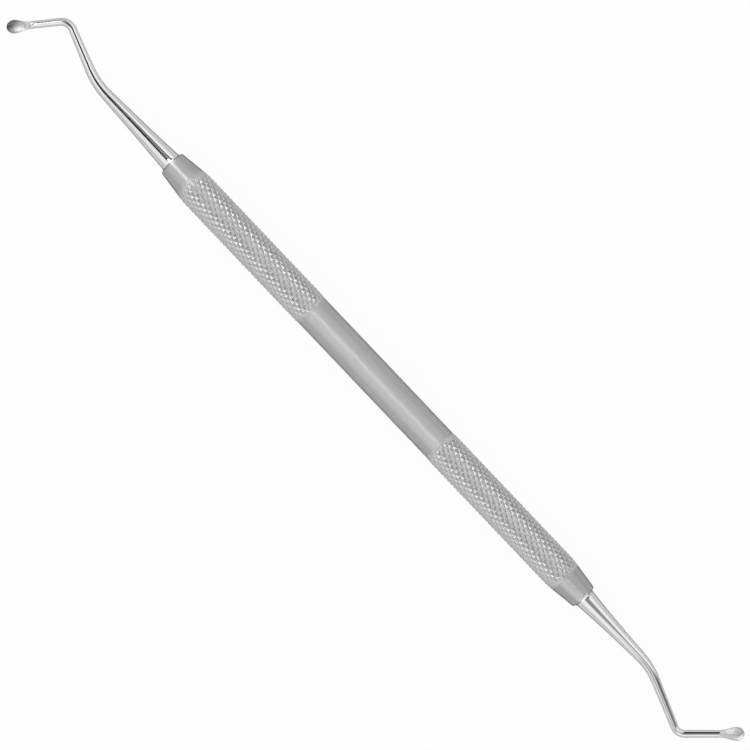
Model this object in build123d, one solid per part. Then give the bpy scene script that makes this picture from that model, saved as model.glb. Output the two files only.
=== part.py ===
"""Double-ended dental spoon excavator, in stainless steel.

Three pieces: a turned and knurled handle, and a left and a right tip. Each tip is a tapered shank,
bent twice, with a spoon at its end and a tang that is brazed into the handle's bore. The tips are
a mirrored pair, so that one of them reaches each side of a tooth.

The origin is the middle of the handle, on its axis. +X runs along the handle to the right tip, the
bends of both tips lie in the XY plane, and the instrument lies on its knurled bands, with +Z up.
Lengths are in millimetres and angles in degrees.
"""

import os
from dataclasses import dataclass
from math import ceil, cos, pi, radians, sin, sqrt, tan

from build123d import *

# Handle, turned from round bar
handle_length = 99.8
grip_diameter = 6.0           # the smooth middle
smooth_length = 30.8          # between the two knurled bands
smooth_offset = -0.5          # of the smooth part's middle, along X
cone_length = 6.3             # from the handle's end to the full diameter
cone_end_diameter = 4.7
end_edge_radius = 0.42

# Diamond knurl, rolled on the bar before its cones are turned
knurl_diameter = 6.3          # over the crests
knurl_depth = 0.22            # from crest to groove
knurl_starts = 20             # grooves of each hand
diamond_length = 1.515        # along the axis
knurl_fade = 1.6              # length in which the pattern sinks into the smooth middle
knurl_inset = 0.02            # the pattern's end rows lie this far inside the round they meet

# Brazed seats of the tips
tang_diameter = 2.6
tang_length = 12.0
tang_chamfer = 0.3
braze_gap = 0.03              # on the radius
bore_spare_depth = 0.5
drill_point_angle = 118.0

# Both tips
root_diameter = 3.6           # where the shank's shoulder meets the handle
neck_diameter = 1.25          # where the shank meets the spoon
spoon_length = 4.2            # from the neck to the nose
spoon_width = 2.3
spoon_nose_length = 1.3       # from the widest place to the nose
spoon_back_depth = 0.85       # from the face to the back
heel_slimness = 1.15          # 1 swells evenly from the neck, and more keeps slim for longer
spoon_rim = 0.1               # steel beside the hollow
spoon_floor = 0.3             # steel under the hollow
hollow_heel_length = 1.95     # from the widest place back towards the neck
hollow_lift = 0.6             # from the face up to the middle of its bowl, so that its sides lean
face_ramp_length = 1.4        # the ground face rises over this length to the neck


@dataclass(frozen=True)
class Shank:
    """One tip's bent centreline and its taper. Runs are measured from corner to corner."""

    root_run: float
    middle_run: float
    end_run: float
    first_bend: float
    second_bend: float
    first_bend_radius: float
    second_bend_radius: float
    taper_power: float        # 1 is a straight cone, and more is a hollower taper


left_shank = Shank(
    root_run=18.3,
    middle_run=11.34,
    end_run=10.5,
    first_bend=20.4,
    second_bend=73.1,
    first_bend_radius=14.0,
    second_bend_radius=2.1,
    taper_power=2.0,
)
right_shank = Shank(
    root_run=16.0,
    middle_run=12.07,
    end_run=11.2,
    first_bend=21.4,
    second_bend=67.9,
    first_bend_radius=12.5,
    second_bend_radius=1.8,
    taper_power=2.8,
)

# How finely the tips' curved surfaces are drawn
straight_section_spacing = 2.0
bend_section_count = 4
heel_section_count = 6
round_end_section_count = 5
last_round_section = 82.0     # degrees round from the widest place, just short of the point

crest_radius = knurl_diameter / 2
groove_radius = crest_radius - knurl_depth
cone_slope = (knurl_diameter - cone_end_diameter) / 2 / cone_length
knurl_end = handle_length / 2 - (groove_radius - cone_end_diameter / 2) / cone_slope
heel_length = spoon_length - spoon_nose_length
from_base = (Align.CENTER, Align.CENTER, Align.MIN)


def cone_radius(x: float) -> float:
    """Radius of the handle's turned cone at x, carried on inwards past its own length."""
    return cone_end_diameter / 2 + cone_slope * (handle_length / 2 - x)


def across_handle(x: float) -> Plane:
    """Plane square to the handle's axis at x, whose own Z points along +X."""
    return Plane(origin=(x, 0, 0), x_dir=(0, 1, 0), z_dir=(1, 0, 0))


def knurled_band(start: float) -> Solid:
    """Knurled bar from x = start, where it meets the smooth middle, to its end on the cone.

    The two families of grooves cross on a lattice. Every second point of the lattice is a crest
    and the others are crossings, and flat facets join each crest to the crossings round it. The
    crests sink into the bar at the inner end, and the cone cuts them off at the outer end.
    """
    rows = round((knurl_end - start) / (diamond_length / 2))
    points = 2 * knurl_starts
    bar_radius = grip_diameter / 2 - knurl_inset

    def corner(row: int, place: int) -> Vector:
        x = start + (knurl_end - start) * row / rows
        rolled = crest_radius if (row + place) % 2 else groove_radius
        faded = bar_radius + (rolled - bar_radius) * min(1.0, (x - start) / knurl_fade)
        radius = min(faded, cone_radius(x) - knurl_inset)
        # half a step off straight down, so that the bar lies on two lines of crests
        angle = radians(360 / points * (place + 0.5) - 90)
        return Vector(x, radius * cos(angle), radius * sin(angle))

    facets = []
    for row in range(rows + 1):
        for crest in range((row + 1) % 2, points, 2):
            for next_row in (row - 1, row + 1):
                for beside in (crest - 1, crest + 1):
                    if 0 <= next_row <= rows:
                        corners = [corner(row, crest), corner(row, beside), corner(next_row, crest)]
                        facets.append(Face(Wire.make_polygon(corners)))
    for row in (0, rows):
        facets.append(Face(Wire.make_polygon([corner(row, place) for place in range(points)])))
    return Solid(Shell(facets))


def handle_end() -> Part:
    """The plain part of one cone, with its rounded edge, at +X."""
    length = handle_length / 2 - knurl_end
    cone = Cone(cone_radius(knurl_end), cone_end_diameter / 2, length, align=from_base)
    cone = across_handle(knurl_end) * cone
    return fillet(cone.edges().sort_by(Axis.X)[-1], end_edge_radius)


def bore() -> Part:
    """Drilled hole for a tang, at +X, with the drill's point at its bottom."""
    radius = tang_diameter / 2 + braze_gap
    depth = tang_length + bore_spare_depth
    point_height = radius / tan(radians(drill_point_angle / 2))
    bottom = handle_length / 2 - depth
    hole = across_handle(bottom) * Cylinder(radius, depth, align=from_base)
    point = across_handle(bottom - point_height) * Cone(0, radius, point_height, align=from_base)
    return hole + point


def make_handle() -> Part:
    """Handle with a knurled band on each side of its smooth middle, and a bore in each end."""
    smooth_start = smooth_offset - smooth_length / 2
    smooth_end = smooth_offset + smooth_length / 2
    solid = across_handle(smooth_start) * Cylinder(grip_diameter / 2, smooth_length, align=from_base)
    solid += [knurled_band(smooth_end), handle_end()]
    solid += [mirror(piece, about=Plane.YZ) for piece in (knurled_band(-smooth_start), handle_end())]
    return solid - [bore(), mirror(bore(), about=Plane.YZ)]


def centreline(shank: Shank) -> Wire:
    """Centreline from the origin along +X, bent to the -Y side and back again to the spoon's nose."""
    first_heading = -radians(shank.first_bend)
    last_heading = radians(shank.second_bend - shank.first_bend)
    first_corner = Vector(shank.root_run, 0)
    second_corner = first_corner + Vector(cos(first_heading), sin(first_heading)) * shank.middle_run
    nose = second_corner + Vector(cos(last_heading), sin(last_heading)) * shank.end_run
    radii = [shank.first_bend_radius, shank.second_bend_radius]
    return FilletPolyline((0, 0), first_corner, second_corner, nose, radius=radii).wire()


def tapered_shank(shank: Shank, line: Wire) -> Part:
    """Shank from the handle's end to the neck, swept through round sections along its centreline."""
    neck = line.length - spoon_length
    places = [0.0]
    for edge in line.edges():
        straight = edge.geom_type == GeomType.LINE
        steps = ceil(edge.length / straight_section_spacing) if straight else bend_section_count
        begin = places[-1]
        places += [begin + edge.length * step / steps for step in range(1, steps + 1)]
    places = [place for place in places if place < neck - neck_diameter / 2] + [neck]

    def section(place: float) -> Sketch:
        share = place / line.length
        thinned = (root_diameter - neck_diameter) * (1 - place / neck) ** shank.taper_power
        plane = Plane(origin=line @ share, x_dir=(0, 0, 1), z_dir=line % share)
        return plane * Circle((neck_diameter + thinned) / 2)

    swept_line = line.trim(0, neck / line.length)
    return sweep([section(place) for place in places], path=swept_line, multisection=True)


def rounded_end(length: float, half_width: float, depth: float) -> list:
    """Sections of half an ellipsoid, from just past its widest place at x = 0 to x = length."""
    sections = []
    for step in range(1, round_end_section_count + 1):
        angle = radians(last_round_section * step / round_end_section_count)
        section = Ellipse(half_width * cos(angle), depth * cos(angle))
        sections.append(across_handle(length * sin(angle)) * section)
    return sections + [Vertex(length, 0, 0)]


def spoon() -> Part:
    """Spoon with its face up at z = 0, from its neck at the origin to its nose along +X."""
    half_neck = neck_diameter / 2
    half_width = spoon_width / 2
    at_widest = Pos(heel_length, 0, 0)

    heel = []
    for step in range(heel_section_count + 1):
        share = step / heel_section_count
        swell = (1 - cos(pi * share**heel_slimness)) / 2
        width = half_neck + (half_width - half_neck) * swell
        depth = half_neck + (spoon_back_depth - half_neck) * swell
        heel.append(across_handle(heel_length * share) * Ellipse(width, depth))
    nose = rounded_end(spoon_nose_length, half_width, spoon_back_depth)
    egg = loft(heel + [at_widest * section for section in nose])

    above = spoon_length + spoon_width
    ramp = TangentArc((face_ramp_length, 0), (0, half_neck), tangent=(-1, 0))
    rest = Polyline((0, half_neck), (0, above), (above, above), (above, 0), (face_ramp_length, 0))
    ground_away = extrude(Plane.XZ * make_face([ramp, rest]), amount=spoon_width, both=True)

    bowl_depth = spoon_back_depth - spoon_floor + hollow_lift
    # the face cuts the bowl below its middle, where it is narrower by this factor
    narrowing = sqrt(1 - (hollow_lift / bowl_depth) ** 2)
    bowl_width = (half_width - spoon_rim) / narrowing
    behind = rounded_end(-hollow_heel_length / narrowing, bowl_width, bowl_depth)
    widest = across_handle(0) * Ellipse(bowl_width, bowl_depth)
    ahead = rounded_end((spoon_nose_length - spoon_rim) / narrowing, bowl_width, bowl_depth)
    bowl = loft(behind[::-1] + [widest] + ahead)
    return egg - ground_away - at_widest * Pos(0, 0, hollow_lift) * bowl


def make_tip(shank: Shank, face_direction: int) -> Part:
    """Tip whose shoulder is at the origin, with its tang along -X and its spoon's face to +Z or -Z."""
    tang = across_handle(-tang_length) * Cylinder(tang_diameter / 2, tang_length, align=from_base)
    tang = chamfer(tang.edges().sort_by(Axis.X)[0], tang_chamfer)
    line = centreline(shank)
    share = 1 - spoon_length / line.length
    at_neck = Plane(origin=line @ share, x_dir=line % share, z_dir=(0, 0, face_direction))
    return tang + tapered_shank(shank, line) + at_neck * spoon()


left_tip = Pos(-handle_length / 2, 0, 0) * Rot(0, 0, 180) * make_tip(left_shank, face_direction=1)
right_tip = Pos(handle_length / 2, 0, 0) * make_tip(right_shank, face_direction=-1)

os.makedirs("parts", exist_ok=True)
export_step(make_handle(), "parts/handle.step")
export_step(left_tip, "parts/left_spoon_tip.step")
export_step(right_tip, "parts/right_spoon_tip.step")
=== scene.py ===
"""Double-ended dental spoon excavator, dressed and lit as it lies on a white table.

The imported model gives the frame: the handle lies along X with its middle at the origin, the bends of
both tips lie in the XY plane and +Z is up. The handle and both tips are modelled again here with finer
surfaces over the same sizes. Lengths are in millimetres until a mesh is written, which is in metres.
"""

import logging
from dataclasses import dataclass, field
from enum import Enum, IntEnum
from math import acos, atan2, ceil, cos, degrees, hypot, pi, radians, sin, sqrt, tan
from typing import Callable, Iterable, Sequence

import bpy
import numpy as np
from mathutils import Euler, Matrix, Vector


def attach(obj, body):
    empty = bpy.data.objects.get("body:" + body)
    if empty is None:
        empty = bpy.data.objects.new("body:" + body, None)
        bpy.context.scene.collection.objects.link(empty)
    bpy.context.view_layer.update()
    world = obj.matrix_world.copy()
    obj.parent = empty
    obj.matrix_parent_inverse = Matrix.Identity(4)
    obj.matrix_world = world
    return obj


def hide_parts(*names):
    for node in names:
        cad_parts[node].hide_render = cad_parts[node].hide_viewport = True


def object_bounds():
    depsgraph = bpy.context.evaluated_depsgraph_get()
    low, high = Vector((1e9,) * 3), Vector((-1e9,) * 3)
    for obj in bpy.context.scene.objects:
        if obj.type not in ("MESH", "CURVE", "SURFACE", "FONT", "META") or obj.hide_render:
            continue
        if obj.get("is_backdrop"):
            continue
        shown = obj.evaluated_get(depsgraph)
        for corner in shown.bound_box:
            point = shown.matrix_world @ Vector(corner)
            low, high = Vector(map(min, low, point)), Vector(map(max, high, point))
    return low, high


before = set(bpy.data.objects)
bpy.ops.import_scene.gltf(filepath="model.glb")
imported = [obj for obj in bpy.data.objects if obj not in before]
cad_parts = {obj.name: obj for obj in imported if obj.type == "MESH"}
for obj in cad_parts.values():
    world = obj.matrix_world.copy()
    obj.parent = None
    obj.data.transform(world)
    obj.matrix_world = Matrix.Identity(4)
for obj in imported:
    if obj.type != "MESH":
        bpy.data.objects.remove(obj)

LOG = logging.getLogger("excavator")
MM = 0.001
# degrees from the handle's axis round to the picture's right
PICTURE_TURN = 46.47

Socket = bpy.types.NodeSocket
Value = float | Socket
Mover = Callable[[np.ndarray], np.ndarray]


class Slot(Enum):
    """The record's material slots."""

    SATIN = "satin_steel"
    POLISHED = "polished_steel"


class Side(Enum):
    """The end of the handle that a tip is brazed into, as the sign of its X."""

    LEFT = -1
    RIGHT = 1


class HandleFinish(IntEnum):
    """Places of the handle's finishes in its list."""

    SATIN = 0
    KNURLED = 1
    TURNED = 2


class TipFinish(IntEnum):
    """Places of a tip's finishes in its list."""

    POLISHED = 0
    BLASTED = 1
    HOLLOWED = 2


# Node graphs


@dataclass(frozen=True)
class Graph:
    """A node tree with short calls for the nodes that the finishes and the sky use."""

    tree: bpy.types.NodeTree

    def node(self, kind: str, **settings: object) -> bpy.types.Node:
        """Adds a node.

        Args:
            kind: the node's type name in Blender.
            settings: attributes to set on it.

        Returns:
            The new node.
        """
        made = self.tree.nodes.new(kind)
        for name, value in settings.items():
            setattr(made, name, value)
        return made

    def feed(self, socket: Socket, value: object) -> None:
        """Links a socket's value to an input, or writes a plain value on it."""
        if isinstance(value, bpy.types.NodeSocket):
            self.tree.links.new(value, socket)
        else:
            socket.default_value = value

    def math(self, operation: str, a: Value, b: Value = 0.0) -> Socket:
        """Adds one arithmetic step and returns its result."""
        step = self.node("ShaderNodeMath", operation=operation)
        self.feed(step.inputs[0], a)
        self.feed(step.inputs[1], b)
        return step.outputs[0]

    def ramp(self, value: Value, start: float, end: float, low: Value = 0.0, high: Value = 1.0) -> Socket:
        """Adds a smooth step.

        Args:
            value: the number that is read.
            start: where the step begins.
            end: where it is complete, which may be below start.
            low: the result at start.
            high: the result at end.

        Returns:
            The stepped value.
        """
        step = self.node("ShaderNodeMapRange", interpolation_type="SMOOTHSTEP")
        for place, given in enumerate((value, start, end, low, high)):
            self.feed(step.inputs[place], given)
        return step.outputs[0]

    def along(self, vector: Socket, axis: Sequence[float]) -> Socket:
        """Adds a dot product with a fixed axis and returns it."""
        step = self.node("ShaderNodeVectorMath", operation="DOT_PRODUCT")
        self.feed(step.inputs[0], vector)
        step.inputs[1].default_value = tuple(axis)
        return step.outputs["Value"]

    def place_in_mm(self, stretch: Sequence[float] = (1.0, 1.0, 1.0)) -> Socket:
        """Adds the place on the piece in millimetres, stretched along its axes, and returns it."""
        here = self.node("ShaderNodeTexCoord").outputs["Object"]
        scaled = self.node("ShaderNodeVectorMath", operation="MULTIPLY")
        self.feed(scaled.inputs[0], here)
        scaled.inputs[1].default_value = tuple(part / MM for part in stretch)
        return scaled.outputs[0]

    def noise(self, place: Socket, per_mm: float, detail: float = 2.0) -> Socket:
        """Adds noise.

        Args:
            place: the place in millimetres.
            per_mm: how many patches there are to a millimetre.
            detail: how many finer layers are added.

        Returns:
            A value about 0.5.
        """
        made = self.node("ShaderNodeTexNoise")
        self.feed(made.inputs["Vector"], place)
        made.inputs["Scale"].default_value = per_mm
        made.inputs["Detail"].default_value = detail
        return made.outputs["Fac"]

    def grey(self, value: Socket) -> Socket:
        """Turns a number into a neutral colour and returns it."""
        joined = self.node("ShaderNodeCombineColor")
        for channel in joined.inputs:
            self.feed(channel, value)
        return joined.outputs[0]

    def bump(self, height: Socket, depth_mm: float, strength: float) -> Socket:
        """Adds a bump of a real depth.

        Args:
            height: the height from 0 to 1.
            depth_mm: how far apart 0 and 1 are.
            strength: how much of it is shown.

        Returns:
            The bent normal.
        """
        made = self.node("ShaderNodeBump")
        made.inputs["Strength"].default_value = strength
        made.inputs["Distance"].default_value = depth_mm * MM
        self.feed(made.inputs["Height"], height)
        return made.outputs[0]


def new_material(name: str) -> tuple[bpy.types.Material, Graph, bpy.types.Node]:
    """Makes a material with one principled shader.

    Args:
        name: the material's name.

    Returns:
        The material, its graph and the shader.
    """
    material = bpy.data.materials.new(name)
    material.use_nodes = True
    graph = Graph(material.node_tree)
    return material, graph, material.node_tree.nodes["Principled BSDF"]


# Finishes


@dataclass(frozen=True)
class Steel:
    """Stainless steel with a fine grain, from a mirror polish to a coarse satin."""

    name: str
    tone: float
    edge_tone: float
    roughness: float
    tone_spread: float = 0.03
    roughness_spread: float = 0.03
    patch_per_mm: float = 0.6
    grain_per_mm: float = 9.0
    grain_depth: float = 0.004
    grain_strength: float = 0.5
    grain_stretch: tuple[float, float, float] = (1.0, 1.0, 1.0)
    lathe_marks: float = 0.0
    # painted shade: how far the tone falls towards the hollow's nose, and between which distances from the
    # middle, in millimetres
    painted_nose_shade: float = 1.0
    nose_shade_from: float = 83.9
    nose_shade_to: float = 85.4

    def material(self) -> bpy.types.Material:
        """Builds the finish.

        Returns:
            A metal whose tone and gloss drift over the piece, with a bump for its grain, and painted shade
            towards the hollow's nose where asked.
        """
        material, graph, shader = new_material(self.name)
        place = graph.place_in_mm(self.grain_stretch)
        patches = graph.noise(graph.place_in_mm(), self.patch_per_mm, detail=3.0)
        grain = graph.noise(place, self.grain_per_mm)
        # both noises lie about 0.5, so the drift lies about 0
        drift = graph.math("SUBTRACT", graph.math("ADD", patches, grain), 1.0)
        tone = graph.math("MULTIPLY_ADD", drift, 2 * self.tone_spread * self.tone)
        self.add_constant(tone, self.tone)
        if self.painted_nose_shade != 1.0:
            # painted shade: the hollow's tone darkens over its last stretch to the nose, at either end of the
            # instrument, in place of the dark surroundings that the hollow would mirror there
            from_middle = graph.math("ABSOLUTE", graph.along(graph.place_in_mm(), (1.0, 0.0, 0.0)))
            start, end = self.nose_shade_from, self.nose_shade_to
            painted_shade = graph.ramp(from_middle, start, end, 1.0, self.painted_nose_shade)
            tone = graph.math("MULTIPLY", tone, painted_shade)
        graph.feed(shader.inputs["Base Color"], graph.grey(tone))
        gloss = graph.math("MULTIPLY_ADD", drift, 2 * self.roughness_spread)
        self.add_constant(gloss, self.roughness)
        graph.feed(shader.inputs["Roughness"], gloss)
        graph.feed(shader.inputs["Normal"], graph.bump(grain, self.grain_depth, self.grain_strength))
        shader.inputs["Metallic"].default_value = 1.0
        shader.inputs["Specular Tint"].default_value = (self.edge_tone,) * 3 + (1.0,)
        if self.lathe_marks:
            # the marks run round the handle's axis, and spread what is mirrored along it
            tangent = graph.node("ShaderNodeTangent", direction_type="RADIAL", axis="X")
            graph.feed(shader.inputs["Tangent"], tangent.outputs[0])
            shader.inputs["Anisotropic"].default_value = self.lathe_marks
            shader.inputs["Anisotropic Rotation"].default_value = 0.25
        return material

    @staticmethod
    def add_constant(product: Socket, constant: float) -> None:
        """Sets what a multiply-and-add step adds."""
        product.node.inputs[2].default_value = constant


@dataclass(frozen=True)
class Paper:
    """The white table top: paper that glows a little, so that it stays white and keeps a soft shadow."""

    name: str = "table_paper"
    tone: float = 0.74
    roughness: float = 0.9
    fibres_per_mm: float = 3.0
    fibre_depth: float = 0.01
    fibre_strength: float = 0.2
    glow_to_camera: float = 0.95
    glow_to_steel: float = 0.1

    def material(self) -> bpy.types.Material:
        """Builds the paper.

        Returns:
            Diffuse paper that the camera sees almost as plain white, and the steel a little whiter
            than it is lit.
        """
        material, graph, shader = new_material(self.name)
        shader.inputs["Base Color"].default_value = (self.tone,) * 3 + (1.0,)
        shader.inputs["Roughness"].default_value = self.roughness
        shader.inputs["Specular IOR Level"].default_value = 0.0
        fibres = graph.noise(graph.place_in_mm(), self.fibres_per_mm)
        bent = graph.bump(fibres, self.fibre_depth, self.fibre_strength)
        graph.feed(shader.inputs["Normal"], bent)
        path = graph.node("ShaderNodeLightPath")
        mirrored = graph.math("MAXIMUM", path.outputs["Is Glossy Ray"], path.outputs["Is Transmission Ray"])
        mirrored = graph.math("MULTIPLY", mirrored, self.glow_to_steel)
        seen = graph.math("MULTIPLY", path.outputs["Is Camera Ray"], self.glow_to_camera)
        white = graph.node("ShaderNodeEmission")
        white.inputs["Color"].default_value = (1.0, 1.0, 1.0, 1.0)
        white.inputs["Strength"].default_value = 1.0
        mixed = graph.node("ShaderNodeMixShader")
        graph.feed(mixed.inputs[0], graph.math("MAXIMUM", seen, mirrored))
        graph.feed(mixed.inputs[1], shader.outputs[0])
        graph.feed(mixed.inputs[2], white.outputs[0])
        output = material.node_tree.nodes["Material Output"]
        graph.feed(output.inputs["Surface"], mixed.outputs[0])
        return material


SATIN_STEEL = Steel(
    name="satin_steel",
    tone=0.64,
    edge_tone=0.35,
    roughness=0.54,
    roughness_spread=0.005,
    grain_per_mm=6.0,
    grain_depth=0.0005,
    grain_stretch=(3.0, 0.4, 0.4),
    lathe_marks=0.76,
)
TURNED_STEEL = Steel(
    name="turned_steel",
    tone=0.58,
    edge_tone=0.35,
    roughness=0.44,
    roughness_spread=0.01,
    grain_per_mm=6.0,
    grain_depth=0.0004,
    grain_stretch=(3.0, 0.3, 0.3),
    lathe_marks=0.84,
)
KNURLED_STEEL = Steel(name="knurled_steel", tone=0.66, edge_tone=0.4, roughness=0.43)
POLISHED_STEEL = Steel(
    name="polished_steel",
    tone=0.87,
    edge_tone=0.1,
    roughness=0.06,
    tone_spread=0.01,
    roughness_spread=0.01,
    grain_depth=0.0002,
    grain_strength=0.05,
)
BLASTED_STEEL = Steel(
    name="blasted_steel",
    tone=0.66,
    edge_tone=0.4,
    roughness=0.5,
    tone_spread=0.08,
    patch_per_mm=2.0,
    grain_per_mm=8.0,
    grain_depth=0.003,
)
HOLLOWED_STEEL = Steel(
    name="hollowed_steel",
    tone=0.66,
    edge_tone=0.2,
    roughness=0.48,
    grain_depth=0.001,
    # painted shade: the tone falls to a fifth at the hollow's nose
    painted_nose_shade=0.2,
)


# Meshes


@dataclass
class Skin:
    """A closed mesh that grows by rings of points. Faces look outwards when rings follow their axis."""

    points: list[np.ndarray] = field(default_factory=list)
    faces: list[tuple[int, ...]] = field(default_factory=list)
    finishes: list[int] = field(default_factory=list)
    count: int = 0

    def add(self, points: Iterable[Sequence[float]]) -> list[int]:
        """Adds points, in millimetres.

        Args:
            points: their places.

        Returns:
            Their numbers in the mesh.
        """
        block = np.array(list(points), dtype=float).reshape(-1, 3)
        self.points.append(block)
        first, self.count = self.count, self.count + len(block)
        return list(range(first, self.count))

    def face(self, corners: tuple[int, ...], finish: int) -> None:
        """Adds one face with a finish."""
        self.faces.append(corners)
        self.finishes.append(finish)

    def fan(self, ring: list[int], pole: int, finish: int, ring_first: bool) -> None:
        """Closes a ring with triangles to one point, on the ring's far side or on its near side."""
        for place, here in enumerate(ring):
            beside = ring[(place + 1) % len(ring)]
            self.face((here, beside, pole) if ring_first else (beside, here, pole), finish)

    def bridge(self, ring: list[int], next_ring: list[int], finish: int, closed: bool = True) -> None:
        """Joins two rings of the same length by quads."""
        last = len(ring) if closed else len(ring) - 1
        for place in range(last):
            beside = (place + 1) % len(ring)
            self.face((ring[place], ring[beside], next_ring[beside], next_ring[place]), finish)

    def mesh(self, name: str, place: Mover) -> bpy.types.Mesh:
        """Writes the mesh.

        Args:
            name: its name.
            place: moves the points to where the piece lies, still in millimetres.

        Returns:
            The mesh in metres, smooth but for its sharp edges.
        """
        made = bpy.data.meshes.new(name)
        where = place(np.vstack(self.points)) * MM
        made.from_pydata(where.tolist(), [], self.faces)
        made.polygons.foreach_set("material_index", self.finishes)
        made.polygons.foreach_set("use_smooth", [True] * len(self.faces))
        made.validate()
        made.update()
        return made


def show(
    name: str,
    mesh: bpy.types.Mesh,
    finishes: Sequence[Steel],
    node: str,
) -> bpy.types.Object:
    """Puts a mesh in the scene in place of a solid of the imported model.

    Args:
        name: the piece's name.
        mesh: its mesh.
        finishes: its finishes, in the order of its faces' numbers.
        node: the solid that it stands for.

    Returns:
        The new object, riding on the model's one body.
    """
    piece = bpy.data.objects.new(name, mesh)
    bpy.context.scene.collection.objects.link(piece)
    for finish in finishes:
        mesh.materials.append(finish.material())
    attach(piece, "root")
    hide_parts(node)
    return piece


# Handle


@dataclass(frozen=True)
class Knurl:
    """Rolled diamond pattern: two families of grooves that leave sharp pyramids between them."""

    starts: int = 20
    depth: float = 0.22
    diamond_length: float = 1.515
    fade_length: float = 1.0
    steps: int = 3

    @property
    def columns(self) -> int:
        """Points round the handle, a few for each half diamond."""
        return 2 * self.starts * self.steps

    def sink(self, row: float, place: float) -> float:
        """Depth of the pattern under its crests.

        Args:
            row: place along the handle, in half diamonds.
            place: place round the handle, in half diamonds.

        Returns:
            The depth in millimetres.
        """
        return self.depth * (1.0 - min(self.to_groove(row + place), self.to_groove(place - row)))

    @staticmethod
    def to_groove(across: float) -> float:
        """Distance to the nearest groove of one family, in half diamonds."""
        return abs(across - 2 * round(across / 2))


@dataclass(frozen=True)
class Handle:
    """Turned and knurled handle with a blind bore in each end."""

    length: float = 99.8
    grip_radius: float = 3.0
    crest_radius: float = 3.15
    band_starts: tuple[float, float] = (15.9, 14.9)
    cone_length: float = 6.3
    cone_end_radius: float = 2.35
    edge_radius: float = 0.42
    edge_steps: int = 5
    bore_radius: float = 1.33
    bore_depth: float = 12.5
    drill_point_angle: float = 118.0
    smooth_step: float = 2.0
    cone_step: float = 0.5
    sharp_angle: float = 20.0
    knurl: Knurl = Knurl()

    @property
    def cone_slope(self) -> float:
        """How fast the cone's radius falls."""
        return (self.crest_radius - self.cone_end_radius) / self.cone_length

    @property
    def knurl_end(self) -> float:
        """Distance from the middle at which the cone has cut the pattern away."""
        groove_radius = self.crest_radius - self.knurl.depth
        return self.length / 2 - (groove_radius - self.cone_end_radius) / self.cone_slope

    def cone_radius(self, x: float) -> float:
        """Radius of the cone at a distance from the middle."""
        return self.cone_end_radius + self.cone_slope * (self.length / 2 - x)

    def bore_outline(self) -> list[tuple[float, float]]:
        """Distance from the middle and radius of the bore's rings, from its bottom to the end face."""
        end = self.length / 2
        return [(end - self.bore_depth, self.bore_radius), (end, self.bore_radius)]

    def edge_outline(self) -> list[tuple[float, float]]:
        """Works out the rounded edge of the handle's end.

        Returns:
            Distances from the middle and radii, from the end face round to the cone.
        """
        end = self.length / 2
        lean = atan2(self.cone_slope, 1.0)
        # the rounding's centre stands off the end face and off the cone by its own radius
        centre_x = end - self.edge_radius
        centre_r = self.cone_radius(centre_x) - self.edge_radius / cos(lean)
        outline = []
        for step in range(self.edge_steps + 1):
            turn = (pi / 2 - lean) * step / self.edge_steps
            outline.append((centre_x + self.edge_radius * cos(turn), centre_r + self.edge_radius * sin(turn)))
        return outline

    def cone_outline(self) -> list[tuple[float, float]]:
        """Distances from the middle and radii of the plain cone, from its rounded edge to the knurl."""
        start = self.edge_outline()[-1][0]
        steps = ceil((start - self.knurl_end) / self.cone_step)
        places = [start + (self.knurl_end - start) * step / steps for step in range(1, steps)]
        return [(x, self.cone_radius(x)) for x in places]

    def angles(self, shift: float = 0.0) -> np.ndarray:
        """Angles of the points round the handle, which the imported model's crests set."""
        places = (np.arange(self.knurl.columns) + shift) / self.knurl.steps
        return np.radians(180.0 / self.knurl.starts * (places + 0.5) - 90.0)

    def ring(self, x: float, radii: float | np.ndarray, shift: float = 0.0) -> np.ndarray:
        """Points round the handle at x, each at its own radius."""
        angles = self.angles(shift)
        return np.column_stack([np.full(len(angles), x), radii * np.cos(angles), radii * np.sin(angles)])

    def knurled_radii(self, start: float, row: float, shift: float = 0.0) -> tuple[float, np.ndarray]:
        """Works out one ring of the knurl.

        Args:
            start: where the band meets the smooth middle.
            row: how many half diamonds the ring is from there.
            shift: part of a column that the ring is turned by.

        Returns:
            The ring's distance from the middle, and the radii round it.
        """
        rows = round((self.knurl_end - start) / (self.knurl.diamond_length / 2))
        x = start + (self.knurl_end - start) * row / rows
        fade = min(1.0, (x - start) / self.knurl.fade_length)
        radii = []
        for column in range(self.knurl.columns):
            place = (column + shift) / self.knurl.steps
            rolled = self.crest_radius - self.knurl.sink(row, place)
            faded = self.grip_radius + (rolled - self.grip_radius) * fade
            radii.append(min(faded, self.cone_radius(x)))
        return x, np.array(radii)

    def band(self, skin: Skin, side: Side, last: list[int]) -> list[int]:
        """Adds one knurled band, along +X.

        Args:
            skin: the mesh that grows.
            side: which band it is.
            last: the ring that the band joins on to.

        Returns:
            The band's last ring.
        """
        start = self.band_starts[side is Side.RIGHT]
        rows = round((self.knurl_end - start) / (self.knurl.diamond_length / 2)) * self.knurl.steps
        order = range(rows + 1) if side is Side.RIGHT else range(rows, -1, -1)
        previous = None
        for step in order:
            x, radii = self.knurled_radii(start, step / self.knurl.steps)
            ring = skin.add(self.ring(side.value * x, radii))
            if previous is None:
                skin.bridge(last, ring, HandleFinish.SATIN)
            else:
                middle = (step + previous) / 2
                centre_x, centre_radii = self.knurled_radii(start, middle / self.knurl.steps, shift=0.5)
                centres = skin.add(self.ring(side.value * centre_x, centre_radii, shift=0.5))
                for column in range(len(ring)):
                    beside = (column + 1) % len(ring)
                    corners = (last[column], last[beside], ring[beside], ring[column])
                    for corner in range(4):
                        triangle = (corners[corner], corners[(corner + 1) % 4], centres[column])
                        skin.face(triangle, HandleFinish.KNURLED)
            last, previous = ring, step
        return last

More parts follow.
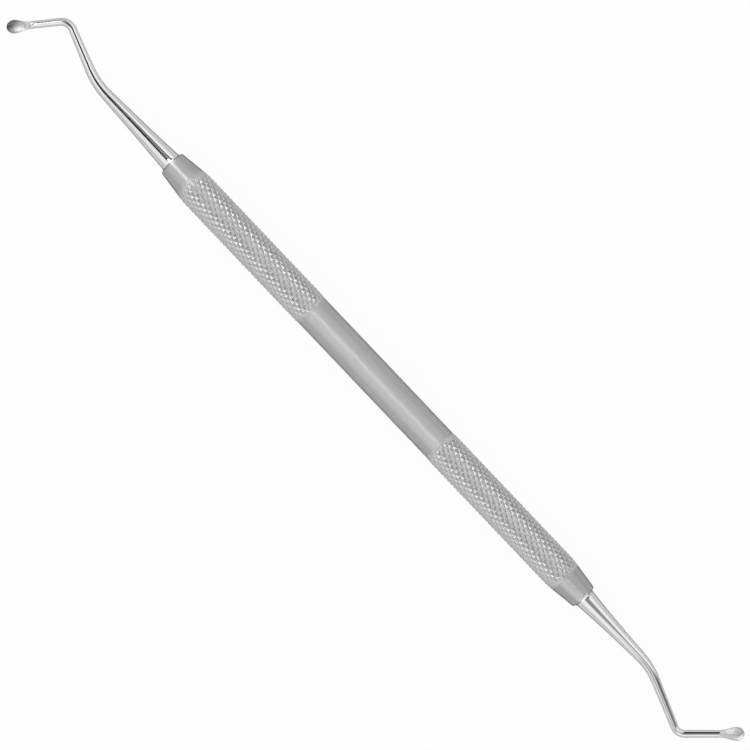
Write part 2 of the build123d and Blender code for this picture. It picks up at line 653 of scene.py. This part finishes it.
    def turned(
        self,
        skin: Skin,
        outline: Iterable[tuple[float, float]],
        last: list[int],
        finish: HandleFinish,
    ) -> list[int]:
        """Adds turned rings.

        Args:
            skin: the mesh that grows.
            outline: each ring's x and radius.
            last: the ring that they join on to.
            finish: their finish.

        Returns:
            The last ring.
        """
        for x, radius in outline:
            ring = skin.add(self.ring(x, radius))
            skin.bridge(last, ring, finish)
            last = ring
        return last

    def build(self) -> bpy.types.Mesh:
        """Builds the handle as one closed skin, from the bottom of one bore to that of the other.

        Returns:
            The mesh.
        """
        skin = Skin()
        bore, edge, cone = self.bore_outline(), self.edge_outline(), self.cone_outline()
        point = bore[0][0] - self.bore_radius / tan(radians(self.drill_point_angle / 2))
        left_pole, right_pole = skin.add([(-point, 0, 0), (point, 0, 0)])
        last = skin.add(self.ring(-bore[0][0], bore[0][1]))
        skin.fan(last, left_pole, HandleFinish.TURNED, ring_first=False)
        left = [(-x, radius) for x, radius in bore[1:] + edge + cone]
        last = self.turned(skin, left, last, HandleFinish.TURNED)
        last = self.band(skin, Side.LEFT, last)
        smooth_from, smooth_to = -self.band_starts[0], self.band_starts[1]
        steps = ceil((smooth_to - smooth_from) / self.smooth_step)
        places = [smooth_from + (smooth_to - smooth_from) * step / steps for step in range(1, steps)]
        smooth = [(x, self.grip_radius) for x in places]
        last = self.turned(skin, smooth, last, HandleFinish.SATIN)
        last = self.band(skin, Side.RIGHT, last)
        right = (bore + edge + cone)[::-1]
        last = self.turned(skin, right, last, HandleFinish.TURNED)
        skin.fan(last, right_pole, HandleFinish.TURNED, ring_first=True)
        mesh = skin.mesh("handle", lambda points: points)
        mesh.set_sharp_from_angle(angle=radians(self.sharp_angle))
        return mesh

    def dress(self) -> bpy.types.Object:
        """Builds the handle and gives it its satin, knurled and turned finishes."""
        finishes = (SATIN_STEEL, KNURLED_STEEL, TURNED_STEEL)
        return show("knurled_handle", self.build(), finishes, "handle")


# Tips


@dataclass(frozen=True)
class Run:
    """A straight or evenly bent stretch of a centreline, in the XY plane."""

    start: tuple[float, float]
    heading: float
    length: float
    turn: float = 0.0

    def at(self, along: float) -> tuple[float, float, float]:
        """Finds a place on the run.

        Args:
            along: distance from its start.

        Returns:
            X, Y and the heading there, in radians.
        """
        x, y = self.start
        if not self.turn:
            return x + along * cos(self.heading), y + along * sin(self.heading), self.heading
        radius = self.length / self.turn
        heading = self.heading + along / radius
        x += radius * (sin(heading) - sin(self.heading))
        y -= radius * (cos(heading) - cos(self.heading))
        return x, y, heading


@dataclass(frozen=True)
class Shank:
    """A tip's bent centreline and its taper. Runs are measured from corner to corner."""

    root_run: float
    middle_run: float
    end_run: float
    first_bend: float
    second_bend: float
    first_bend_radius: float
    second_bend_radius: float
    taper_power: float
    root_radius: float = 1.8
    neck_radius: float = 0.625

    def runs(self) -> list[Run]:
        """Works out the centreline from the handle's end to the spoon's nose.

        Returns:
            Its three straight runs and the two bends between them.
        """
        turns = (-radians(self.first_bend), radians(self.second_bend))
        radii = (self.first_bend_radius, self.second_bend_radius)
        cuts = [radius * tan(abs(turn) / 2) for radius, turn in zip(radii, turns)]
        straights = (
            self.root_run - cuts[0],
            self.middle_run - cuts[0] - cuts[1],
            self.end_run - cuts[1],
        )
        runs = []
        x, y, heading = 0.0, 0.0, 0.0
        for number, straight in enumerate(straights):
            stretches = [(straight, 0.0)]
            if number < len(turns):
                stretches.append((radii[number] * abs(turns[number]), turns[number]))
            for length, turn in stretches:
                run = Run((x, y), heading, length, turn)
                runs.append(run)
                x, y, heading = run.at(length)
        return runs

    @property
    def length(self) -> float:
        """Length of the whole centreline."""
        return sum(run.length for run in self.runs())

    def at(self, along: float) -> tuple[float, float, float]:
        """X, Y and heading at a distance from the handle's end."""
        for run in self.runs():
            if along <= run.length:
                return run.at(along)
            along -= run.length
        return self.runs()[-1].at(self.runs()[-1].length + along)

    def stations(self, neck: float, straight_step: float, bend_step: float) -> list[float]:
        """Picks the places of the shank's rings.

        Args:
            neck: where the shank ends.
            straight_step: the longest step on a straight run.
            bend_step: the largest turn in one step of a bend, in degrees.

        Returns:
            Distances from the handle's end, from 0 to the neck.
        """
        places = [0.0]
        for run in self.runs():
            steps = ceil(degrees(abs(run.turn)) / bend_step) if run.turn else ceil(run.length / straight_step)
            begin = places[-1]
            places += [begin + run.length * step / steps for step in range(1, steps + 1)]
        spare = straight_step / 2
        return [place for place in places if place < neck - spare] + [neck]

    def radius(self, along: float, neck: float) -> float:
        """Radius of the shank at a distance from the handle's end."""
        thinned = (1 - along / neck) ** self.taper_power
        return self.neck_radius + (self.root_radius - self.neck_radius) * thinned


LEFT_SHANK = Shank(
    root_run=18.3,
    middle_run=11.34,
    end_run=10.5,
    first_bend=20.4,
    second_bend=73.1,
    first_bend_radius=14.0,
    second_bend_radius=2.1,
    taper_power=2.0,
)
RIGHT_SHANK = Shank(
    root_run=16.0,
    middle_run=12.07,
    end_run=11.2,
    first_bend=21.4,
    second_bend=67.9,
    first_bend_radius=12.5,
    second_bend_radius=1.8,
    taper_power=2.8,
)


@dataclass(frozen=True)
class Spoon:
    """Hollowed spoon, with its face at z = 0, its neck at the origin and its nose along +X."""

    length: float = 4.2
    half_width: float = 1.15
    nose_length: float = 1.3
    back_depth: float = 0.85
    neck_radius: float = 0.625
    heel_slimness: float = 1.15
    rim: float = 0.1
    hollow_depth: float = 0.55
    hollow_heel_length: float = 1.95
    hollow_lift: float = 0.6
    face_ramp_length: float = 1.4
    edge: float = 0.025
    heel_steps: int = 22
    nose_steps: int = 14
    face_shares: tuple[float, ...] = (0.25, 0.5, 0.75)
    bowl_steps: int = 12

    @property
    def heel_length(self) -> float:
        """Distance from the neck to the widest place."""
        return self.length - self.nose_length

    def stations(self) -> list[tuple[float, float, float]]:
        """Works out the sections of the spoon's outer form.

        Returns:
            X, half width and depth, from the neck to just short of the nose.
        """
        sections = []
        for step in range(self.heel_steps + 1):
            share = step / self.heel_steps
            swell = (1 - cos(pi * share**self.heel_slimness)) / 2
            width = self.neck_radius + (self.half_width - self.neck_radius) * swell
            depth = self.neck_radius + (self.back_depth - self.neck_radius) * swell
            sections.append((self.heel_length * share, width, depth))
        for step in range(1, self.nose_steps):
            turn = pi / 2 * step / self.nose_steps
            x = self.heel_length + self.nose_length * sin(turn)
            sections.append((x, self.half_width * cos(turn), self.back_depth * cos(turn)))
        return sections

    def face_height(self, x: float) -> float:
        """Height of the ground face, which rises in an arc towards the neck."""
        if x >= self.face_ramp_length:
            return 0.0
        radius = (self.face_ramp_length**2 + self.neck_radius**2) / (2 * self.neck_radius)
        return radius - sqrt(radius**2 - (self.face_ramp_length - x) ** 2)

    def back_arc(self, section: tuple[float, float, float], columns: int) -> list[tuple[float, float, float]]:
        """Works out the back's points at one section.

        Args:
            section: its x, half width and depth.
            columns: how many steps there are from one edge of the face, under the spoon, to the other.

        Returns:
            The points, just below the face's edge at both ends.
        """
        x, width, depth = section
        start = acos(max(-1.0, min(1.0, (self.face_height(x) - self.edge) / depth)))
        turns = [start + (2 * pi - 2 * start) * step / columns for step in range(columns + 1)]
        return [(x, -width * sin(turn), depth * cos(turn)) for turn in turns]

    def hollow_edge(self, x: float, y: float) -> tuple[float, float]:
        """Place on the hollow's edge that lies opposite a place on the face's edge."""
        ahead = x - self.heel_length
        reach = self.nose_length if ahead > 0 else self.heel_length
        turn = atan2(y / self.half_width, ahead / reach)
        hollow_reach = self.nose_length - self.rim if ahead > 0 else self.hollow_heel_length
        return self.heel_length + hollow_reach * cos(turn), (self.half_width - self.rim) * sin(turn)

    def face_edge(self) -> list[tuple[float, float]]:
        """Works out the outline of the face.

        Returns:
            X and Y of one side's places, from the nose to the neck.
        """
        edge = []
        for x, width, depth in self.stations()[:0:-1]:
            height = self.face_height(x)
            edge.append((x, width * sqrt(max(0.0, 1 - (height / depth) ** 2))))
        return [(self.length, 0.0)] + edge + [(0.0, 0.0)]

    def face_rings(self) -> list[list[tuple[float, float, float]]]:
        """Works out the rings of the face and of the hollow in it.

        Returns:
            Rings from the face's edge to the bottom of the hollow, each from the nose round by +Y.
        """
        half = self.face_edge()
        outline = half + [(x, -y) for x, y in half[-2:0:-1]]
        inner = [self.hollow_edge(x, y) for x, y in outline]
        rings = []
        for share in (0.0, *self.face_shares, 1.0):
            ring = []
            for (x, y), (hollow_x, hollow_y) in zip(outline, inner):
                gap = hypot(hollow_x - x, hollow_y - y)
                # a small bevel runs along both edges of the face
                inset = min(self.edge / gap, 0.25)
                part = inset + (1 - 2 * inset) * share
                here = x + (hollow_x - x) * part, y + (hollow_y - y) * part
                ring.append((*here, self.face_height(here[0])))
            rings.append(ring)
        # the bowl is the bottom of an egg whose middle stands above the face
        bowl_depth = self.hollow_depth + self.hollow_lift
        opening = acos(self.hollow_lift / bowl_depth)
        centre = self.heel_length
        for step in range(self.bowl_steps):
            # the bowl's first ring lies a quarter step below the face, which leaves its edge a bevel
            turn = opening * (1 - (step + 0.25) / self.bowl_steps)
            shrink, rise = sin(turn) / sin(opening), self.hollow_lift - bowl_depth * cos(turn)
            rings.append([(centre + (x - centre) * shrink, y * shrink, rise) for x, y in inner])
        return rings

    def add_to(self, skin: Skin, neck_ring: list[int], place: Mover) -> None:
        """Adds the spoon to a tip's mesh.

        Args:
            skin: the mesh that grows.
            neck_ring: the shank's last ring, whose first point is on top.
            place: moves the spoon's points to its neck.
        """
        columns = len(neck_ring)
        arcs = [neck_ring + neck_ring[:1]]
        for section in self.stations()[1:]:
            arcs.append(skin.add(place(np.array(self.back_arc(section, columns)))))
        for arc, next_arc in zip(arcs, arcs[1:]):
            skin.bridge(arc, next_arc, TipFinish.BLASTED, closed=False)
        (nose,) = skin.add(place(np.array([(self.length, 0.0, -self.edge)])))
        last = arcs[-1]
        for here, beside in zip(last, last[1:]):
            skin.face((here, beside, nose), TipFinish.BLASTED)
        rim = [nose] + [arc[-1] for arc in arcs[:0:-1]] + [neck_ring[0]] + [arc[0] for arc in arcs[1:]]
        for ring in self.face_rings():
            numbers = skin.add(place(np.array(ring)))
            skin.bridge(rim, numbers, TipFinish.HOLLOWED)
            rim = numbers
        (bottom,) = skin.add(place(np.array([(self.heel_length, 0.0, -self.hollow_depth)])))
        skin.fan(rim, bottom, TipFinish.HOLLOWED, ring_first=True)


@dataclass(frozen=True)
class Tip:
    """One tip: a tang in the handle's bore, a bent shank and a spoon."""

    side: Side
    shank: Shank
    node: str
    piece: str
    spoon: Spoon = Spoon()
    handle_end: float = 49.9
    tang_radius: float = 1.3
    tang_length: float = 12.0
    tang_chamfer: float = 0.3
    braze_fillet: float = 0.28
    braze_steps: int = 5
    points_round: int = 56
    straight_step: float = 0.8
    bend_step: float = 4.0
    sharp_angle: float = 50.0

    @property
    def face_up(self) -> int:
        """Which way the spoon's face looks: up on the left tip and down on the right one."""
        return -self.side.value

    def ring(self, centre: tuple[float, float, float], radius: float) -> np.ndarray:
        """Points round a place on the centreline, from the side that the spoon's face looks to."""
        x, y, heading = centre
        turns = 2 * pi * np.arange(self.points_round) / self.points_round
        # across the centreline, so that the turns run the same way round for both faces
        side_x, side_y = sin(heading) * self.face_up, -cos(heading) * self.face_up
        out = radius * np.sin(turns)
        return np.column_stack([x + out * side_x, y + out * side_y, radius * np.cos(turns) * self.face_up])

    def root_rings(self) -> list[tuple[float, float]]:
        """Works out the tang, the shoulder and the braze at the shank's root.

        Returns:
            X and radius of each ring, from the tang's end to the end of the braze.
        """
        rings = [
            (-self.tang_length, self.tang_radius - self.tang_chamfer),
            (-self.tang_length + self.tang_chamfer, self.tang_radius),
            (0.0, self.tang_radius),
        ]
        neck = self.shank.length - self.spoon.length
        for step in range(self.braze_steps + 1):
            turn = pi / 2 * step / self.braze_steps
            x = self.braze_fillet * (1 - cos(turn))
            rise = self.braze_fillet * (1 - sin(turn))
            rings.append((x, self.shank.radius(x, neck) + rise))
        return rings

    def build(self) -> bpy.types.Mesh:
        """Builds the tip as one closed skin from its tang to its spoon.

        Returns:
            The mesh, where the tip lies.
        """
        skin = Skin()
        (pole,) = skin.add([(-self.tang_length, 0.0, 0.0)])
        last: list[int] = []
        for x, radius in self.root_rings():
            ring = skin.add(self.ring((x, 0.0, 0.0), radius))
            if last:
                skin.bridge(last, ring, TipFinish.POLISHED)
            else:
                skin.fan(ring, pole, TipFinish.POLISHED, ring_first=False)
            last = ring
        neck = self.shank.length - self.spoon.length
        for along in self.shank.stations(neck, self.straight_step, self.bend_step):
            if along > self.braze_fillet:
                ring = skin.add(self.ring(self.shank.at(along), self.shank.radius(along, neck)))
                skin.bridge(last, ring, TipFinish.POLISHED)
                last = ring
        x, y, heading = self.shank.at(neck)

        def at_neck(points: np.ndarray) -> np.ndarray:
            """Moves the spoon's points to the end of the shank."""
            ahead, beside, up = points.T
            side_x, side_y = -sin(heading) * self.face_up, cos(heading) * self.face_up
            out_x = x + ahead * cos(heading) + beside * side_x
            out_y = y + ahead * sin(heading) + beside * side_y
            return np.column_stack([out_x, out_y, up * self.face_up])

        self.spoon.add_to(skin, last, at_neck)
        half_turn = np.array([self.side.value, self.side.value, 1.0])
        end = np.array([self.side.value * self.handle_end, 0.0, 0.0])
        mesh = skin.mesh(self.piece, lambda points: points * half_turn + end)
        mesh.set_sharp_from_angle(angle=radians(self.sharp_angle))
        return mesh

    def dress(self) -> bpy.types.Object:
        """Builds the tip and gives it its polished shank and satin spoon."""
        finishes = (POLISHED_STEEL, BLASTED_STEEL, HOLLOWED_STEEL)
        return show(self.piece, self.build(), finishes, self.node)


# Studio


@dataclass(frozen=True)
class Camera:
    """Camera that looks straight down, turned so that the handle runs from top left to bottom right."""

    turn: float = PICTURE_TURN
    centre: tuple[float, float] = (-0.926, 0.256)
    field_width: float = 125.0
    lens: float = 200.0
    sensor: float = 36.0

    def place(self) -> bpy.types.Object:
        """Makes the camera and sets it as the scene's own."""
        data = bpy.data.cameras.new("camera")
        data.lens, data.sensor_width = self.lens, self.sensor
        camera = bpy.data.objects.new("camera", data)
        bpy.context.scene.collection.objects.link(camera)
        height = self.field_width * self.lens / self.sensor
        camera.location = Vector((*self.centre, height)) * MM
        camera.rotation_euler = Euler((0.0, 0.0, radians(self.turn)))
        bpy.context.scene.camera = camera
        return camera


@dataclass(frozen=True)
class Panel:
    """Straight-sided patch of the tent's ceiling, in heights above the table.

    Its centre is given to the right and up in the picture, and its edges fade over a soft width.
    """

    level: float
    centre: tuple[float, float]
    half_size: tuple[float, float]
    turn: float = 0.0
    soft: tuple[float, float] = (0.05, 0.05)


@dataclass(frozen=True)
class Sector:
    """Fan-shaped patch of the tent's ceiling round the point above the table.

    It is centred on a direction in the picture, in degrees from its right.
    """

    level: float
    direction: float
    half_angle: float
    soft_angle: float
    reach: tuple[float, float]


@dataclass(frozen=True)
class Sky:
    """White studio tent, seen by direction: walls that dim towards the table, with lamps and dark gaps.

    Each patch is mirrored as one streak of the handle or of a shank. A later patch covers an earlier one.
    """

    turn: float = PICTURE_TURN
    top: float = 0.97
    foot: float = 0.54
    wall_height: float = 0.74
    lowest: float = 0.02
    patches: tuple[Panel | Sector, ...] = (
        Sector(level=0.36, direction=-25.5, half_angle=42.0, soft_angle=5.0, reach=(0.06, 0.14)),
        Sector(level=0.04, direction=-8.0, half_angle=22.0, soft_angle=8.0, reach=(0.4, 0.9)),
        Sector(level=3.0, direction=-46.5, half_angle=34.0, soft_angle=8.0, reach=(1.6, 2.4)),
        Sector(level=2.9, direction=125.0, half_angle=18.0, soft_angle=3.5, reach=(0.14, 0.22)),
        Panel(level=0.4, centre=(-0.5, -0.48), half_size=(0.42, 0.2), turn=43.5, soft=(0.1, 0.1)),
        Panel(level=0.28, centre=(0.255, -0.24), half_size=(0.13, 0.3), turn=-46.5, soft=(0.05, 0.15)),
        Panel(level=0.24, centre=(-0.18, 1.1), half_size=(0.18, 0.95), soft=(0.05, 0.1)),
        Panel(level=0.0, centre=(0.158, 1.0), half_size=(0.095, 0.95), soft=(0.025, 0.15)),
        Panel(level=0.0, centre=(-0.162, 0.052), half_size=(0.267, 0.105), turn=45.0),
        Panel(level=7.8, centre=(-0.195, 0.225), half_size=(0.105, 0.074), turn=43.5, soft=(0.02, 0.02)),
    )

    def hang(self) -> None:
        """Builds the tent as the scene's world."""
        world = bpy.data.worlds.new("studio_tent")
        world.use_nodes = True
        graph = Graph(world.node_tree)
        look = graph.node("ShaderNodeTexCoord").outputs["Generated"]
        up = graph.along(look, (0.0, 0.0, 1.0))
        height = graph.math("MAXIMUM", up, self.lowest)
        level = graph.ramp(up, 0.0, self.wall_height, self.foot, self.top)
        for patch in self.patches:
            if isinstance(patch, Panel):
                inside = self.in_panel(graph, look, height, patch)
            else:
                inside = self.in_sector(graph, look, height, patch)
            level = graph.ramp(inside, 0.0, 1.0, level, patch.level)
        background = world.node_tree.nodes["Background"]
        graph.feed(background.inputs["Color"], graph.grey(level))
        bpy.context.scene.world = world

    def axis(self, degrees_up: float) -> tuple[float, float, float]:
        """Level axis at an angle from the picture's right."""
        turn = radians(self.turn + degrees_up)
        return cos(turn), sin(turn), 0.0

    def in_panel(self, graph: Graph, look: Socket, height: Socket, panel: Panel) -> Socket:
        """Works out how far a direction lies inside a panel, from 0 to 1."""
        inside: Value = 1.0
        right, above = panel.centre
        for side, half, soft in zip((0.0, 90.0), panel.half_size, panel.soft):
            lean = radians(panel.turn + side)
            middle = right * cos(lean) + above * sin(lean)
            place = graph.math("DIVIDE", graph.along(look, self.axis(panel.turn + side)), height)
            away = graph.math("ABSOLUTE", graph.math("SUBTRACT", place, middle))
            inside = graph.math("MULTIPLY", graph.ramp(away, half + soft, half - soft), inside)
        return inside

    def in_sector(self, graph: Graph, look: Socket, height: Socket, sector: Sector) -> Socket:
        """Works out how far a direction lies inside a sector, from 0 to 1."""
        ahead = graph.math("DIVIDE", graph.along(look, self.axis(sector.direction)), height)
        beside = graph.math("DIVIDE", graph.along(look, self.axis(sector.direction + 90.0)), height)
        angle = graph.math("ABSOLUTE", graph.math("ARCTAN2", beside, ahead))
        start, end = (radians(sector.half_angle + part * sector.soft_angle) for part in (1, -1))
        squares = graph.math("ADD", graph.math("POWER", ahead, 2.0), graph.math("POWER", beside, 2.0))
        reach = graph.math("SQRT", squares)
        return graph.math("MULTIPLY", graph.ramp(angle, start, end), graph.ramp(reach, *sector.reach))


@dataclass(frozen=True)
class Table:
    """Round flat sheet of paper that the instrument lies on. Its rings widen outwards."""

    radius: float = 6000.0
    ring_growth: int = 3
    rings: int = 24
    points_round: int = 96

    def lay(self, height: float) -> bpy.types.Object:
        """Lays the paper.

        Args:
            height: Z of its top, in metres.

        Returns:
            The sheet, marked as part of the stage.
        """
        skin = Skin()
        (centre,) = skin.add([(0.0, 0.0, 0.0)])
        turns = -2 * pi * np.arange(self.points_round) / self.points_round
        last: list[int] = []
        for step in range(1, self.rings + 1):
            radius = self.radius * (step / self.rings) ** self.ring_growth
            flat = np.zeros(self.points_round)
            ring = skin.add(np.column_stack([radius * np.cos(turns), radius * np.sin(turns), flat]))
            if last:
                skin.bridge(last, ring, finish=0)
            else:
                skin.fan(ring, centre, finish=0, ring_first=False)
            last = ring
        mesh = skin.mesh("table", lambda points: points + np.array([0.0, 0.0, height / MM]))
        mesh.materials.append(Paper().material())
        sheet = bpy.data.objects.new("table", mesh)
        bpy.context.scene.collection.objects.link(sheet)
        sheet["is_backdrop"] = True
        return sheet


def main() -> None:
    """Builds the instrument and its studio, and reports each piece."""
    logging.basicConfig(level=logging.INFO, format="%(name)s: %(message)s")
    cad_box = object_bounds()
    bpy.context.scene.view_settings.view_transform = "Standard"
    makers = (
        Handle(),
        Tip(Side.LEFT, LEFT_SHANK, node="left_spoon_tip", piece="left_tip"),
        Tip(Side.RIGHT, RIGHT_SHANK, node="right_spoon_tip", piece="right_tip"),
    )
    for maker in makers:
        piece = maker.dress()
        LOG.info("%s: %d faces", piece.name, len(piece.data.polygons))
    Table().lay(cad_box[0].z)
    Sky().hang()
    Camera().place()


if __name__ == "__main__":
    main()
